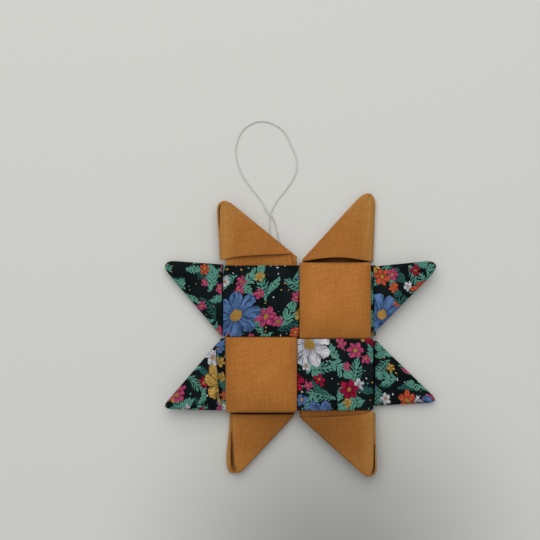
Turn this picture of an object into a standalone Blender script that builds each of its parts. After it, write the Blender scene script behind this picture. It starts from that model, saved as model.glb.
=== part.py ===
"""A hanging star ornament: four flat strips of doubled cloth, woven through each other in a two by two
check and folded into eight points, with a loop of thread sewn through one folded end.

It lies on its back: +Z is the front of the star, +Y its top, and Z = 0 the surface under it. The origin is
under the middle of the whole star. The points aren't alike, so the middle of the check lies beside it.
"""

from collections import namedtuple
from math import cos, pi, radians, sin, sqrt, tan

import bmesh
import bpy
from mathutils import Matrix, Vector

# The cloth strips
STRIP_WIDTH = 0.0254
STRIP_THICKNESS = 0.0005
LAYER_CLEARANCE = 0.0003
EDGE_CLEARANCE = 0.0002
RAMP_SLOPE = radians(60)
RAMP_RADIUS = 0.0004
TAIL_SHORT = 0.004

# How far the folds swell past the line that they are folded on, and the room round what they enclose
LOOP_ROOM = 0.0004
LOOP_SWELL = 0.0012
FRONT_ROOM = 0.0001
FRONT_SWELL = 0.0009
WRAP_SWELL = 0.0010

# The thread
THREAD_DIAMETER = 0.0005
KNOT_DIAMETER = 0.0008
STITCH_LEFT = -0.0095
STITCH_RIGHT = -0.0051
THREAD_SPACING = 0.0016

# How finely folds are divided
FOLD_STEPS = 6
RAMP_STEPS = 3
THREAD_SAMPLES = 12

# One point of the star. Lengths run outwards from the edge of the woven check, or inwards across the
# strip from its outer edge. The slope is the long slanting fold, the leg the short fold at the outer edge.
Point = namedtuple(
    "Point", "slope_reach slope_tip leg_reach leg_tip leg_foot foot_lift corner_lift corner_in"
)
Strip = namedtuple("Strip", "name quarter_turns cloth front back")

STRIPS = [
    Strip(
        "strip_left_mustard", 0, "mustard_linen",
        front=Point(0.0225, -0.0003, 0.0209, -0.0014, -0.0005, 0.0026, 0.0032, 0.0231),
        back=Point(0.0216, 0.0046, 0.0198, 0.0017, 0.0026, 0.0013, 0.0012, 0.0242),
    ),
    Strip(
        "strip_lower_floral", 1, "floral_cotton",
        front=Point(0.0206, 0.0023, 0.0196, 0.0019, 0.0010, 0.0030, 0.0026, 0.0221),
        back=Point(0.0220, 0.0042, 0.0209, 0.0036, 0.0026, 0.0012, 0.0012, 0.0244),
    ),
    Strip(
        "strip_right_mustard", 2, "mustard_linen",
        front=Point(0.0225, 0.0016, 0.0218, -0.0008, -0.0004, 0.0016, 0.0020, 0.0242),
        back=Point(0.0249, 0.0019, 0.0240, -0.0004, 0.0004, 0.0012, 0.0012, 0.0240),
    ),
    Strip(
        "strip_upper_floral", 3, "floral_cotton",
        front=Point(0.0222, 0.0014, 0.0213, 0.0000, 0.0020, 0.0009, 0.0009, 0.0233),
        back=Point(0.0206, 0.0013, 0.0199, 0.0000, 0.0011, 0.0012, 0.0012, 0.0235),
    ),
]

# The thread's route from the right stitch round the loop to the left stitch, as it lies on the surface,
# measured from the middle of the check
THREAD_ROUTE = [
    (-0.0054, 0.0292, 0.0018), (-0.0059, 0.0313, 0.0011), (-0.0065, 0.0340, 0.0005),
    (-0.0075, 0.0382, 0.0003), (-0.0084, 0.0416, 0.0006), (-0.0096, 0.0437, 0.0012),
    (-0.0112, 0.0461, 0.0007), (-0.0121, 0.0480, 0.0003), (-0.0142, 0.0508, 0.0003),
    (-0.0167, 0.0539, 0.0003), (-0.0195, 0.0580, 0.0003), (-0.0211, 0.0619, 0.0003),
    (-0.0219, 0.0660, 0.0003), (-0.0214, 0.0695, 0.0003), (-0.0199, 0.0730, 0.0003),
    (-0.0173, 0.0754, 0.0003), (-0.0147, 0.0766, 0.0003), (-0.0119, 0.0769, 0.0003),
    (-0.0088, 0.0761, 0.0003), (-0.0056, 0.0742, 0.0003), (-0.0037, 0.0720, 0.0003),
    (-0.0018, 0.0679, 0.0003), (-0.0004, 0.0647, 0.0003), (0.0001, 0.0615, 0.0003),
    (-0.0004, 0.0587, 0.0003), (-0.0018, 0.0558, 0.0003), (-0.0043, 0.0523, 0.0003),
    (-0.0069, 0.0492, 0.0003), (-0.0087, 0.0460, 0.0003), (-0.0097, 0.0434, 0.0003),
    (-0.0100, 0.0411, 0.0003), (-0.0100, 0.0382, 0.0003), (-0.0098, 0.0347, 0.0005),
    (-0.0097, 0.0313, 0.0011), (-0.0096, 0.0292, 0.0018),
]

# Sizes that follow from those above
LAYER_PITCH = STRIP_THICKNESS + LAYER_CLEARANCE
WEAVE_GAP = (STRIP_THICKNESS + 2 * EDGE_CLEARANCE - LAYER_CLEARANCE * cos(RAMP_SLOPE)) / sin(RAMP_SLOPE)
INNER_EDGE = WEAVE_GAP / 2
CHECK_EDGE = INNER_EDGE + STRIP_WIDTH
SLOPE_SWELL = LAYER_PITCH / 2
LOOP_REACH = LOOP_ROOM + LOOP_SWELL + STRIP_THICKNESS / 2

# How far past its folding line the hollow of a leg reaches, at the level of the strip inside it
WRAP_TURN = (LAYER_PITCH + STRIP_THICKNESS) / (3 * LAYER_PITCH - STRIP_THICKNESS)
WRAP_HOLLOW = (WRAP_SWELL - STRIP_THICKNESS / 2) * sqrt(1 - WRAP_TURN**2) - EDGE_CLEARANCE


def check_middle():
    """Where the middle of the check lies, for the whole star to have its middle over the origin."""
    left, lower, right, upper = STRIPS
    top = max(left.front.slope_reach, right.back.slope_reach)
    bottom = max(left.back.slope_reach, right.front.slope_reach)
    right_side = max(upper.front.slope_reach, lower.back.slope_reach)
    left_side = max(upper.back.slope_reach, lower.front.slope_reach)
    return Vector(((left_side - right_side) / 2, (bottom - top) / 2, 0))


def layer_height(layer):
    """The height of the middle of a layer, counted from the back."""
    return STRIP_THICKNESS / 2 + layer * LAYER_PITCH


def across(y):
    """A rung square across the strip at y: its two ends, on the strip's outer and inner edge."""
    return Vector((0, y)), Vector((STRIP_WIDTH, y))


def rung_at(rung, height, shift=Vector((0, 0))):
    """The rung's two ends in space."""
    return tuple(Vector((*(end + shift), height)) for end in rung)


def fold(rung_in, rung_out, layer_in, layer_out, swell, away):
    """Rungs round a fold from one layer to another. It swells away from the folding line."""
    low, high = layer_height(layer_in), layer_height(layer_out)
    rungs = []
    for step in range(FOLD_STEPS + 1):
        turn = pi * step / FOLD_STEPS
        share = (1 - cos(turn)) / 2
        rung = [start.lerp(end, share) for start, end in zip(rung_in, rung_out)]
        rungs.append(rung_at(rung, low + (high - low) * share, away * swell * sin(turn)))
    return rungs


def ramp(heading, layer_in, layer_out, crossing):
    """Rungs down or up a short slope between two cells of the check.

    It runs along heading (+1 or -1 on y) and is at the height of crossing, in layers, midway.
    """
    climb = 1 if layer_out > layer_in else -1
    tangent = RAMP_RADIUS * tan(RAMP_SLOPE / 2)
    rungs = []
    for layer, side in ((layer_in, 1), (layer_out, -1)):
        height = layer_height(layer)
        corner = climb * (height - layer_height(crossing)) / tan(RAMP_SLOPE)
        for step in range(RAMP_STEPS + 1):
            turned = step if side > 0 else RAMP_STEPS - step
            turn = RAMP_SLOPE * turned / RAMP_STEPS
            place = corner - side * (tangent - RAMP_RADIUS * sin(turn))
            level = height + side * climb * RAMP_RADIUS * (1 - cos(turn))
            rungs.append(rung_at(across(heading * place), level))
    return rungs


def slope_normal(rung):
    """The direction in which a slanting fold swells: square to it, towards the strip's inner edge."""
    along = rung[1] - rung[0]
    side = Vector((-along.y, along.x)).normalized()
    return side if side.x > 0 else -side


def point_rungs(point, side, layers, leg_floor):
    """Rungs out along one layer, round the three folds of a point, and back along another.

    side is +1 for the point past the top of the check and -1 for the one past its bottom. The four layers
    are those that the strip takes in turn. leg_floor is how near the check its hidden fold may come. Past
    the check the strip narrows, where it must, to the neck that fits inside the leg.
    """

    def place(outwards, inwards):
        return Vector((inwards, side * (CHECK_EDGE + outwards)))

    tip = place(point.slope_reach, point.slope_tip)
    corner = place(point.corner_lift, point.corner_in)
    rise = (point.slope_reach - point.corner_lift) / (point.corner_in - point.slope_tip)
    hidden_lift = max(leg_floor, point.corner_lift - (STRIP_WIDTH - point.corner_in) * rise)
    hidden_in = min(point.corner_in + (point.corner_lift - hidden_lift) / rise, STRIP_WIDTH)
    hidden_slope = (tip, place(hidden_lift, hidden_in))
    shown_slope = (tip, corner)
    leg_tip = place(point.leg_reach, point.leg_tip)
    hidden_foot = max(leg_floor, point.foot_lift)
    hidden_leg = (leg_tip, place(hidden_foot, point.leg_foot))
    shown_leg = (leg_tip, place(point.foot_lift, point.leg_foot))
    outwards = Vector((-1, 0))
    base, under, over, tail = layers
    neck_in = max(0, point.leg_foot - WRAP_HOLLOW)
    square_corner = place(0, STRIP_WIDTH)
    hidden_neck = (place(hidden_foot, neck_in), square_corner.lerp(hidden_slope[1], 0.5))
    shown_neck = (place(point.foot_lift, neck_in), square_corner.lerp(corner, 0.5))
    return [
        rung_at(hidden_neck, layer_height(base)),
        *fold(hidden_slope, hidden_slope, base, under, SLOPE_SWELL, slope_normal(hidden_slope)),
        *fold(hidden_leg, shown_leg, under, over, WRAP_SWELL, outwards),
        *fold(shown_slope, shown_slope, over, tail, SLOPE_SWELL, slope_normal(shown_slope)),
        rung_at(shown_neck, layer_height(tail)),
    ]


def strip_rungs(strip):
    """Every rung of a strip, from its tail at the back to its tail at the front."""
    top, bottom = Vector((0, 1)), Vector((0, -1))
    tail_end = INNER_EDGE + TAIL_SHORT
    loop_line = across(CHECK_EDGE + LOOP_ROOM)
    front_line = across(-CHECK_EDGE - FRONT_ROOM)
    leg_clear = LOOP_REACH - STRIP_THICKNESS / 2
    back_point = point_rungs(strip.back, -1, (2, 3, 0, 1), strip.back.foot_lift)
    return [
        rung_at(across(-tail_end), layer_height(1)),
        rung_at(across(-CHECK_EDGE), layer_height(1)),
        *reversed(back_point),
        rung_at(across(-CHECK_EDGE), layer_height(2)),
        *ramp(1, 2, 0, 0.5),
        *fold(loop_line, loop_line, 0, 4, LOOP_SWELL, top),
        *ramp(-1, 4, 3, 3.5),
        *fold(front_line, front_line, 3, 7, FRONT_SWELL, bottom),
        *ramp(1, 7, 5, 6.5),
        rung_at(across(CHECK_EDGE), layer_height(5)),
        *point_rungs(strip.front, 1, (5, 4, 7, 6), leg_clear),
        rung_at(across(CHECK_EDGE), layer_height(6)),
        rung_at(across(tail_end), layer_height(6)),
    ]


def material(name, colour, roughness):
    """A plain surface of one colour."""
    made = bpy.data.materials.new(name)
    made.use_nodes = True
    shader = made.node_tree.nodes["Principled BSDF"]
    shader.inputs["Base Color"].default_value = (*colour, 1)
    shader.inputs["Roughness"].default_value = roughness
    shader.inputs["Metallic"].default_value = 0
    return made


def add_strip(strip, surface, collection):
    """One strip: a flat grid laid along its rungs and thickened to the cloth's thickness."""
    rungs = strip_rungs(strip)
    shape = bmesh.new()
    bmesh.ops.create_grid(shape, x_segments=1, y_segments=len(rungs) - 1, size=1)
    for vertex in shape.verts:
        outer, inner = rungs[round((vertex.co.y + 1) / 2 * (len(rungs) - 1))]
        vertex.co = outer.lerp(inner, (vertex.co.x + 1) / 2)
    to_column = Matrix.Translation((-CHECK_EDGE, 0, 0))
    to_side = Matrix.Rotation(strip.quarter_turns * pi / 2, 4, "Z")
    to_place = Matrix.Translation(check_middle())
    bmesh.ops.transform(shape, matrix=to_place @ to_side @ to_column, verts=shape.verts)
    mesh = bpy.data.meshes.new(strip.name)
    shape.to_mesh(mesh)
    shape.free()
    mesh.materials.append(surface)
    made = bpy.data.objects.new(strip.name, mesh)
    collection.objects.link(made)
    thickness = made.modifiers.new("cloth", "SOLIDIFY")
    thickness.thickness = STRIP_THICKNESS
    thickness.offset = 0
    thickness.use_even_offset = True
    return made


def smooth_route(route, spacing):
    """Points about spacing apart on a smooth curve through the route's own points."""
    ends = [route[0] * 2 - route[1], *route, route[-1] * 2 - route[-2]]
    fine = []
    for before, start, end, after in zip(ends, ends[1:], ends[2:], ends[3:]):
        for step in range(THREAD_SAMPLES):
            t = step / THREAD_SAMPLES
            bend = (2 * before - 5 * start + 4 * end - after) * t * t
            twist = (3 * start - before - 3 * end + after) * t * t * t
            fine.append((2 * start + (end - before) * t + bend + twist) / 2)
    fine.append(route[-1])
    lengths = [(b - a).length for a, b in zip(fine, fine[1:])]
    count = round(sum(lengths) / spacing)
    step = sum(lengths) / count
    kept, walked = [fine[0]], 0.0
    for point, length in zip(fine[1:], lengths):
        walked += length
        if walked >= step * len(kept) and len(kept) < count:
            kept.append(point)
    return [*kept, route[-1]]


def add_thread(name, points, widths, surface, collection):
    """A round thread through the points. widths gives its diameter at each."""
    curve = bpy.data.curves.new(name, "CURVE")
    curve.dimensions = "3D"
    curve.bevel_depth = THREAD_DIAMETER / 2
    curve.bevel_resolution = 2
    curve.use_fill_caps = True
    spline = curve.splines.new("POLY")
    spline.points.add(len(points) - 1)
    for knot, place, width in zip(spline.points, points, widths):
        knot.co = (*place, 1)
        knot.radius = width / THREAD_DIAMETER
    curve.materials.append(surface)
    made = bpy.data.objects.new(name, curve)
    collection.objects.link(made)
    return made


for old in list(bpy.data.objects):
    bpy.data.objects.remove(old, do_unlink=True)

ornament = bpy.data.collections.new("star_ornament")
bpy.context.scene.collection.children.link(ornament)
surfaces = {
    "mustard_linen": material("mustard_linen", (0.42, 0.18, 0.035), 0.9),
    "floral_cotton": material("floral_cotton", (0.02, 0.03, 0.05), 0.85),
    "white_thread": material("white_thread", (0.75, 0.75, 0.72), 0.7),
}

for strip in STRIPS:
    add_strip(strip, surfaces[strip.cloth], ornament)

# The thread leaves the outside of the left strip's loop at two stitches and lies down on the surface
middle = check_middle()
loop_middle = layer_height(2)
stitch_line = CHECK_EDGE + LOOP_REACH + LAYER_CLEARANCE
route = [
    Vector((STITCH_RIGHT, stitch_line, loop_middle)),
    *(Vector(place) for place in THREAD_ROUTE),
    Vector((STITCH_LEFT, stitch_line, loop_middle)),
]
loop_points = [point + middle for point in smooth_route(route, THREAD_SPACING)]
loop_widths = [THREAD_DIAMETER] * len(loop_points)
add_thread("hanging_loop", loop_points, loop_widths, surfaces["white_thread"], ornament)

# Inside the loop the thread runs from stitch to stitch, with its ends tied in a knot midway
hollow_depth = LOOP_ROOM + LOOP_SWELL - STRIP_THICKNESS / 2
knot_line = CHECK_EDGE + hollow_depth / 2
knot_middle = (STITCH_LEFT + STITCH_RIGHT) / 2
knot_places = [knot_middle + KNOT_DIAMETER * share for share in (-1, -0.5, 0, 0.5, 1)]
knot_route = (STITCH_LEFT, *knot_places, STITCH_RIGHT)
knot_points = [Vector((x, knot_line, loop_middle)) + middle for x in knot_route]
knot_flank = (THREAD_DIAMETER + 3 * KNOT_DIAMETER) / 4
plain_widths = [THREAD_DIAMETER, THREAD_DIAMETER]
knot_widths = [*plain_widths, knot_flank, KNOT_DIAMETER, knot_flank, *plain_widths]
add_thread("loop_knot", knot_points, knot_widths, surfaces["white_thread"], ornament)
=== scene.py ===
from collections import namedtuple
from math import cos, exp, hypot, pi, radians, sin, tan

import bmesh
import bpy
from mathutils import Matrix, Vector


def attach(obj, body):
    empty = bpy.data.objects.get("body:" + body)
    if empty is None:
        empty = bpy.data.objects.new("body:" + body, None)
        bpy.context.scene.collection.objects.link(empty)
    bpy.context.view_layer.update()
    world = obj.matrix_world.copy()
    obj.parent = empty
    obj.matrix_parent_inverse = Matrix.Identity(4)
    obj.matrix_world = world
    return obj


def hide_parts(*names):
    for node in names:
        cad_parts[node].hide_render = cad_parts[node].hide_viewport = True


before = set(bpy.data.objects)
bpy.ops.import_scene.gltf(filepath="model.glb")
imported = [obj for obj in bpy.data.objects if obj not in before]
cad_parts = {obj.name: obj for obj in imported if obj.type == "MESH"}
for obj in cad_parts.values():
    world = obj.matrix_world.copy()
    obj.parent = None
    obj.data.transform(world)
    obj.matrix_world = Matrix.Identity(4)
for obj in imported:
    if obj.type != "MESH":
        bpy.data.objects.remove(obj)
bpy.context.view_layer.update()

# The table, the light and the camera.
# The star lies on a pale painted board. Soft daylight comes from a window above and to the left of
# it, and the camera looks straight down.

PHOTO_SPAN = 0.19197
PHOTO_MIDDLE = (-0.0108, 0.0228)
CAMERA_HEIGHT = 0.55
CAMERA_NEAR = 0.01
SPAN_HEIGHT = 0.004
SENSOR_WIDTH = 36
TABLE_SIZE = 3.0
TABLE_DROP = 0.0001
TABLE_LIGHT = (0.675, 0.68, 0.65)
# The board's colour darkens to the next colour in a soft patch below the star: a painted shadow.
BOARD_SHADOW_COLOUR = (0.33, 0.335, 0.317)
BOARD_SHADOW_PLACE = (0.012, -0.085)
BOARD_SHADOW_REACH = 0.095
BOARD_SHADOW_WANDER = 0.004
WINDOW_PLACE = (-0.10, 0.52, 0.85)
WINDOW_SIZE = 1.15
WINDOW_POWER = 7.6
WINDOW_COLOUR = (1.0, 0.985, 0.96)
ROOM_LIGHT = (0.42, 0.425, 0.43)


def add_node(tree, kind, inputs=None, **settings):
    """A shader node with its settings, and its inputs linked or set, by name or by number."""
    made = tree.nodes.new("ShaderNode" + kind)
    for name, value in settings.items():
        setattr(made, name, value)
    for key, value in (inputs or {}).items():
        socket = made.inputs[key]
        if isinstance(value, bpy.types.NodeSocket):
            tree.links.new(value, socket)
        else:
            socket.default_value = (*value, 1) if socket.type == "RGBA" else value
    return made


def maths(tree, operation, *values):
    """The result of one sum on one to three values."""
    return add_node(tree, "Math", dict(enumerate(values)), operation=operation).outputs[0]


def times(tree, first, second):
    """The product of two values."""
    return maths(tree, "MULTIPLY", first, second)


def mix_colours(tree, share, low, high):
    """The low colour where the share is 0, the high one where it is 1."""
    return add_node(tree, "Mix", {0: share, 6: low, 7: high}, data_type="RGBA").outputs[2]


def grade(tree, value, low, high, start=0.0, end=1.0):
    """The value, stretched from low..high to start..end and kept inside them."""
    inputs = {0: value, 1: low, 2: high, 3: start, 4: end}
    return add_node(tree, "MapRange", inputs).outputs[0]


def noise(tree, place, scale, detail):
    """Cloudy noise at the place, mostly between 0.3 and 0.7."""
    inputs = {"Vector": place, "Scale": scale, "Detail": detail}
    return add_node(tree, "TexNoise", inputs).outputs[0]


def new_surface(name, roughness, sheen, gloss):
    """A material of one Principled shader: the material, its tree and the shader."""
    made = bpy.data.materials.new(name)
    made.use_nodes = True
    shader = made.node_tree.nodes["Principled BSDF"]
    shader.inputs["Roughness"].default_value = roughness
    shader.inputs["Sheen Weight"].default_value = sheen
    shader.inputs["Specular IOR Level"].default_value = gloss
    return made, made.node_tree, shader


def add_object(name, data, place=(0, 0, 0)):
    """An object of that name in the scene."""
    made = bpy.data.objects.new(name, data)
    made.location = place
    bpy.context.scene.collection.objects.link(made)
    return made


def put_in_scene(shape, name, surface):
    """The finished bmesh as an object of that name, smoothly shaded, with that surface."""
    for face in shape.faces:
        face.smooth = True
    mesh = bpy.data.meshes.new(name)
    shape.to_mesh(mesh)
    shape.free()
    mesh.materials.append(surface)
    return add_object(name, mesh)


table_surface, tree, shader = new_surface("painted_board", roughness=0.7, sheen=0.0, gloss=0.2)
table_place = add_node(tree, "TexCoord").outputs["Object"]
# Painted shadow: the board's colour darkens towards a soft patch below the star, its edge wobbled
# by noise.
distance_to_shadow = add_node(
    tree, "VectorMath", {0: table_place, 1: (*BOARD_SHADOW_PLACE, 0)}, operation="DISTANCE"
).outputs["Value"]
shadow_edge_wobble = noise(tree, table_place, scale=30.0, detail=4.0)
away = maths(tree, "MULTIPLY_ADD", shadow_edge_wobble, BOARD_SHADOW_WANDER, distance_to_shadow)
shadow_share_on_board = add_node(
    tree, "MapRange", {0: away, 1: BOARD_SHADOW_REACH, 2: 0.0}, interpolation_type="SMOOTHSTEP"
).outputs[0]
table_colour = mix_colours(tree, shadow_share_on_board, TABLE_LIGHT, BOARD_SHADOW_COLOUR)
tree.links.new(table_colour, shader.inputs["Base Color"])

shape = bmesh.new()
bmesh.ops.create_grid(shape, x_segments=1, y_segments=1, size=TABLE_SIZE / 2)
bmesh.ops.translate(shape, vec=(0, 0, -TABLE_DROP), verts=shape.verts)
table = put_in_scene(shape, "table_top", table_surface)

window = bpy.data.lights.new("window", "AREA")
window.energy = WINDOW_POWER
window.size = WINDOW_SIZE
window.color = WINDOW_COLOUR
window_lamp = add_object("window", window, WINDOW_PLACE)
window_lamp.rotation_euler = (-Vector(WINDOW_PLACE)).to_track_quat("-Z", "Y").to_euler()

room = bpy.data.worlds.new("room")
room.use_nodes = True
room.node_tree.nodes["Background"].inputs["Color"].default_value = (*ROOM_LIGHT, 1)
bpy.context.scene.world = room
bpy.context.scene.view_settings.view_transform = "Standard"

camera = bpy.data.cameras.new("camera")
camera.sensor_width = SENSOR_WIDTH
camera.lens = SENSOR_WIDTH * (CAMERA_HEIGHT - SPAN_HEIGHT) / PHOTO_SPAN
camera.clip_start = CAMERA_NEAR
bpy.context.scene.camera = add_object("camera", camera, (*PHOTO_MIDDLE, CAMERA_HEIGHT))

# The hanging loop.
# One length of white two-ply cotton thread, sewn through the folded end of the left strip. Both
# legs lie behind the upper left point, cross where they leave it and open into a loop on the table.

STRIP_WIDTH = 0.0254
STRIP_THICKNESS = 0.0005
LAYER_CLEARANCE = 0.0003
EDGE_CLEARANCE = 0.0002
RAMP_SLOPE = radians(60)
WEAVE_GAP = (
    STRIP_THICKNESS + 2 * EDGE_CLEARANCE - LAYER_CLEARANCE * cos(RAMP_SLOPE)
) / sin(RAMP_SLOPE)
INNER_EDGE = WEAVE_GAP / 2
CHECK_EDGE = INNER_EDGE + STRIP_WIDTH
CHECK_MIDDLE = Vector((-0.0008, -0.0012, 0))
THREAD_DIAMETER = 0.0005
THREAD_TWIST = 0.0012
THREAD_SIDES = 12
THREAD_STEP = 0.00016
THREAD_WAIST = 0.18
THREAD_SHADE = (0.54, 0.54, 0.52)
THREAD_WHITE = (0.74, 0.74, 0.72)
THREAD_SOIL = (0.47, 0.47, 0.45)
THREAD_SOILED = 0.35
STITCH_LEFT = -0.0095
STITCH_RIGHT = -0.0051
STITCH_LINE = CHECK_EDGE + 0.00215
STITCH_HEIGHT = 0.00185
THREAD_ROUTE = [
    (-0.0054, 0.0292, 0.0018), (-0.0059, 0.0313, 0.0011), (-0.0065, 0.0340, 0.0005),
    (-0.0075, 0.0382, 0.0003), (-0.0085, 0.0416, 0.0006), (-0.0098, 0.0437, 0.0012),
    (-0.0116, 0.0461, 0.0007), (-0.0125, 0.0480, 0.0003), (-0.0146, 0.0508, 0.0003),
    (-0.0171, 0.0540, 0.0003), (-0.0199, 0.0581, 0.0003), (-0.0215, 0.0621, 0.0003),
    (-0.0223, 0.0662, 0.0003), (-0.0218, 0.0698, 0.0003), (-0.0203, 0.0733, 0.0003),
    (-0.0177, 0.0758, 0.0003), (-0.0151, 0.0770, 0.0003), (-0.0123, 0.0773, 0.0003),
    (-0.0092, 0.0765, 0.0003), (-0.0060, 0.0746, 0.0003), (-0.0041, 0.0723, 0.0003),
    (-0.0022, 0.0682, 0.0003), (-0.0008, 0.0649, 0.0003), (-0.0003, 0.0617, 0.0003),
    (-0.0008, 0.0588, 0.0003), (-0.0022, 0.0559, 0.0003), (-0.0047, 0.0523, 0.0003),
    (-0.0073, 0.0492, 0.0003), (-0.0091, 0.0460, 0.0003), (-0.0099, 0.0434, 0.0003),
    (-0.0101, 0.0411, 0.0003), (-0.0100, 0.0382, 0.0003), (-0.0098, 0.0347, 0.0005),
    (-0.0097, 0.0313, 0.0011), (-0.0096, 0.0292, 0.0018),
]


def smooth_route(route, spacing, samples=40):
    """Points about spacing apart on a smooth curve through the route's own points."""
    ends = [route[0] * 2 - route[1], *route, route[-1] * 2 - route[-2]]
    fine = []
    for before, start, end, after in zip(ends, ends[1:], ends[2:], ends[3:]):
        for step in range(samples):
            t = step / samples
            bend = (2 * before - 5 * start + 4 * end - after) * t * t
            twist = (3 * start - before - 3 * end + after) * t * t * t
            fine.append((2 * start + (end - before) * t + bend + twist) / 2)
    fine.append(route[-1])
    lengths = [(b - a).length for a, b in zip(fine, fine[1:])]
    count = round(sum(lengths) / spacing)
    step = sum(lengths) / count
    kept, walked = [fine[0]], 0.0
    for point, length in zip(fine[1:], lengths):
        walked += length
        if walked >= step * len(kept) and len(kept) < count:
            kept.append(point)
    return [*kept, route[-1]]


def twisted_thread(name, points, radius, surface):
    """A closed tube along the points, with a two-lobed section that turns as two plies do."""
    shape = bmesh.new()
    count = len(points) - 1
    bmesh.ops.create_grid(shape, x_segments=THREAD_SIDES, y_segments=count, size=1)
    walked = [0.0]
    for start, end in zip(points, points[1:]):
        walked.append(walked[-1] + (end - start).length)
    for vertex in shape.verts:
        ring = round((vertex.co.y + 1) / 2 * count)
        turn = pi * (vertex.co.x + 1)
        along = points[min(ring + 1, count)] - points[max(ring - 1, 0)]
        side = along.cross(Vector((0, 0, 1))).normalized()
        rise = side.cross(along).normalized()
        lobe = turn - 2 * pi * walked[ring] / THREAD_TWIST
        reach = radius * (1 - THREAD_WAIST * sin(lobe) ** 2)
        vertex.co = points[ring] + side * reach * cos(turn) + rise * reach * sin(turn)
    bmesh.ops.remove_doubles(shape, verts=shape.verts, dist=radius / 1000)
    rims = [edge for edge in shape.edges if edge.is_boundary]
    bmesh.ops.holes_fill(shape, edges=rims, sides=THREAD_SIDES)
    bmesh.ops.recalc_face_normals(shape, faces=shape.faces)
    return put_in_scene(shape, name, surface)


def add_bumps(tree, shader, height, strength, depth):
    """Raises a surface by a height of 0 to 1, as far as depth."""
    bump = add_node(tree, "Bump", {"Strength": strength, "Distance": depth, "Height": height})
    tree.links.new(bump.outputs[0], shader.inputs["Normal"])


thread_surface, tree, shader = new_surface(
    "white_cotton_thread", roughness=0.8, sheen=0.2, gloss=0.2
)
thread_place = add_node(tree, "TexCoord").outputs["Object"]
fibres = noise(tree, thread_place, scale=2600.0, detail=3.0)
soiling = noise(tree, thread_place, scale=90.0, detail=2.0)
fibre_tone = grade(tree, fibres, 0.3, 0.7)
thread_colour = mix_colours(tree, fibre_tone, THREAD_SHADE, THREAD_WHITE)
soil_tone = grade(tree, soiling, 0.35, 0.7, 0.0, THREAD_SOILED)
thread_colour = mix_colours(tree, soil_tone, thread_colour, THREAD_SOIL)
tree.links.new(thread_colour, shader.inputs["Base Color"])
add_bumps(tree, shader, fibres, strength=0.4, depth=0.00005)

thread_route = [
    Vector((STITCH_RIGHT, STITCH_LINE, STITCH_HEIGHT)),
    *(Vector(place) for place in THREAD_ROUTE),
    Vector((STITCH_LEFT, STITCH_LINE, STITCH_HEIGHT)),
]
thread_points = [point + CHECK_MIDDLE for point in smooth_route(thread_route, THREAD_STEP)]
hanging_thread = twisted_thread(
    "hanging_thread", thread_points, THREAD_DIAMETER / 2, thread_surface
)
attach(hanging_thread, "root")
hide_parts("hanging_loop")

# The tied thread inside the fold.
# Between the two stitches the thread runs through the hollow of the left strip's folded end, with
# its ends wound round it and pulled tight. None of it shows from the front.

KNOT_TURNS = 3
KNOT_REACH = 0.00033
KNOT_LENGTH = 0.0012
KNOT_LINE = CHECK_EDGE + 0.00065
KNOT_POINTS = 72
KNOT_FULLNESS = 0.5
TIED_RADIUS = 0.36 * THREAD_DIAMETER

knot_middle = (STITCH_LEFT + STITCH_RIGHT) / 2
knot_route = [Vector((STITCH_LEFT, KNOT_LINE, STITCH_HEIGHT)) + CHECK_MIDDLE]
for step in range(KNOT_POINTS + 1):
    share = step / KNOT_POINTS
    turn = 2 * pi * KNOT_TURNS * share
    swell = KNOT_REACH * sin(pi * share) ** KNOT_FULLNESS
    place = Vector((knot_middle + KNOT_LENGTH * (share - 0.5), KNOT_LINE, STITCH_HEIGHT))
    knot_route.append(place + CHECK_MIDDLE + Vector((0, swell * sin(turn), swell * cos(turn))))
knot_route.append(Vector((STITCH_RIGHT, KNOT_LINE, STITCH_HEIGHT)) + CHECK_MIDDLE)
tied_thread = twisted_thread("tied_thread", knot_route, TIED_RADIUS, thread_surface)
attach(tied_thread, "root")
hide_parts("loop_knot")

# The mustard strips.
# Two long bands of mustard linen, pressed double so that one long edge is a fold and the other two
# lie together. Each is woven into a column of the check and folded into a point at both its ends.

PLY_THICKNESS = 0.00032
PLY_OFFSET = 0.00018
LAYER_PITCH = STRIP_THICKNESS + LAYER_CLEARANCE
LOWEST_LAYER = 0.00036
EDGE_INSET = 0.0002
RAMP_RADIUS = 0.0004
TAIL_SHORT = 0.004
LOOP_ROOM = 0.0004
LOOP_SWELL = 0.0012
FRONT_SWELL = 0.00052
WRAP_SWELL = 0.0011
SLOPE_SWELL = LAYER_PITCH / 2
HALF_BAND = PLY_OFFSET + PLY_THICKNESS / 2
TIP_OVERLAP = 0.0005
TIP_FLATTENED = 0.7
SLOPE_FULLNESS = SLOPE_SWELL + HALF_BAND
LEG_FULLNESS = TIP_FLATTENED * WRAP_SWELL + HALF_BAND
SLOT_PLACE = 0.27
SLOT_SINKING = 2.0
SLOT_SECTION = [
    (0, 0), (0.0003, 0.0004), (0.0004, 0.0010), (0.0005, 0.0016), (0.0009, 0.0019),
    (0.0013, 0.0019), (0.0017, 0.0015), (0.00185, 0.0008), (0.0021, 0.0003), (0.0025, 0.0005),
    (0.0027, 0.0014), (0.0023, 0.0022), (0, 3 * LAYER_PITCH),
]
CORNER_ROUNDING = 0.0011
ROUNDING_START = 0.25
LEG_CLEAR = 0.0016
WRAP_HOLLOW = 0.0008
BAND_FLARE = 0.0004
FOLD_STEPS = 12
RAMP_STEPS = 4
FAN_STEPS = 22
EDGE_STEPS = 5
ACROSS_STEPS = 18
RUNG_SPACING = 0.0013
RUNG_SPARE = 1.4
COLUMN_EASING = 0.09
PROBE_SHARE = 0.02
LIFT_POWER = 2.6
EDGE_LIFT_POWER = 0.6
FOOT_DROP_POWER = 8
POINT_FROM = CHECK_EDGE + 0.003
SQUARE_LAYER = 3.3
SQUARE_PUFF = 0.0011
PUFF_POWER = 2.2
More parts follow.
